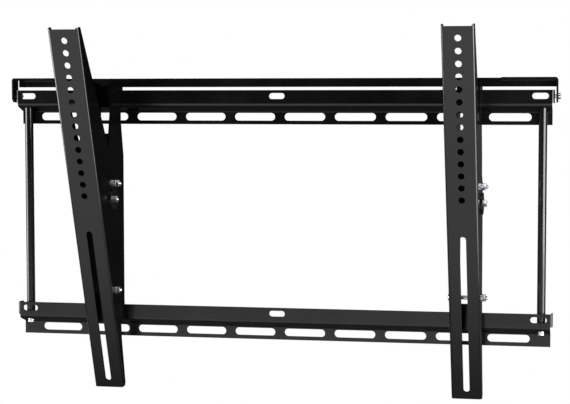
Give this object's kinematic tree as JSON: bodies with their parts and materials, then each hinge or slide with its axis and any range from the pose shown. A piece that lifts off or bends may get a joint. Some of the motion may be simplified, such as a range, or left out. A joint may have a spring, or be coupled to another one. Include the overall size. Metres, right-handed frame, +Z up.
{
  "type": "tilting television wall bracket",
  "caption": "Black sheet-steel television wall bracket: slotted wall rails joined by end rods, a locking bar, and sliding hook-on brackets with long drilled arms that tilt.",
  "frame": {"origin": "on the wall plane, in the middle of the rails, midway between the two rows of wall slots", "axes": "+X along the rails to the right as seen from the room, +Y into the wall, +Z up"},
  "size_m": [0.873, 0.1992, 0.5553],
  "materials": {
    "black_coat": "satin black powder coat",
    "rod_coat": "smooth black coat",
    "zinc": "bright zinc plate",
    "nylon": "black nylon"
  },
  "bodies": {
    "wall_frame": {"top_rail": "black_coat", "bottom_rail": "black_coat", "left_rod": "rod_coat", "right_rod": "rod_coat", "locking_bar": "black_coat", "locking_screws": "zinc", "locking_nuts": "zinc", "rod_screws": "zinc"},
    "left_carriage": {"left_bracket": "black_coat"},
    "left_tilt": {"left_arm": "black_coat", "left_bolts": "zinc", "left_washers": "zinc", "left_friction_disc": "nylon", "left_nuts": "zinc", "left_liners": "nylon", "left_spacers": "zinc"},
    "right_carriage": {"right_bracket": "black_coat"},
    "right_tilt": {"right_arm": "black_coat", "right_bolts": "zinc", "right_washers": "zinc", "right_friction_disc": "nylon", "right_nuts": "zinc", "right_liners": "nylon", "right_spacers": "zinc"}
  },
  "joints": [
    {"name": "left_slide", "type": "slide", "parent": "wall_frame", "child": "left_carriage", "axis": [1, 0, 0], "range_m": [-0.1036, 0.2214]},
    {"name": "left_arm_tilt", "type": "hinge", "parent": "left_carriage", "child": "left_tilt", "pos_m": [-0.2714, -0.057, -0.101], "axis": [1, 0, 0], "range_deg": [-12, 0]},
    {"name": "right_slide", "type": "slide", "parent": "wall_frame", "child": "right_carriage", "axis": [1, 0, 0], "range_m": [-0.249, 0.076]},
    {"name": "right_arm_tilt", "type": "hinge", "parent": "right_carriage", "child": "right_tilt", "pos_m": [0.299, -0.057, -0.101], "axis": [1, 0, 0], "range_deg": [-12, 0]}
  ]
}
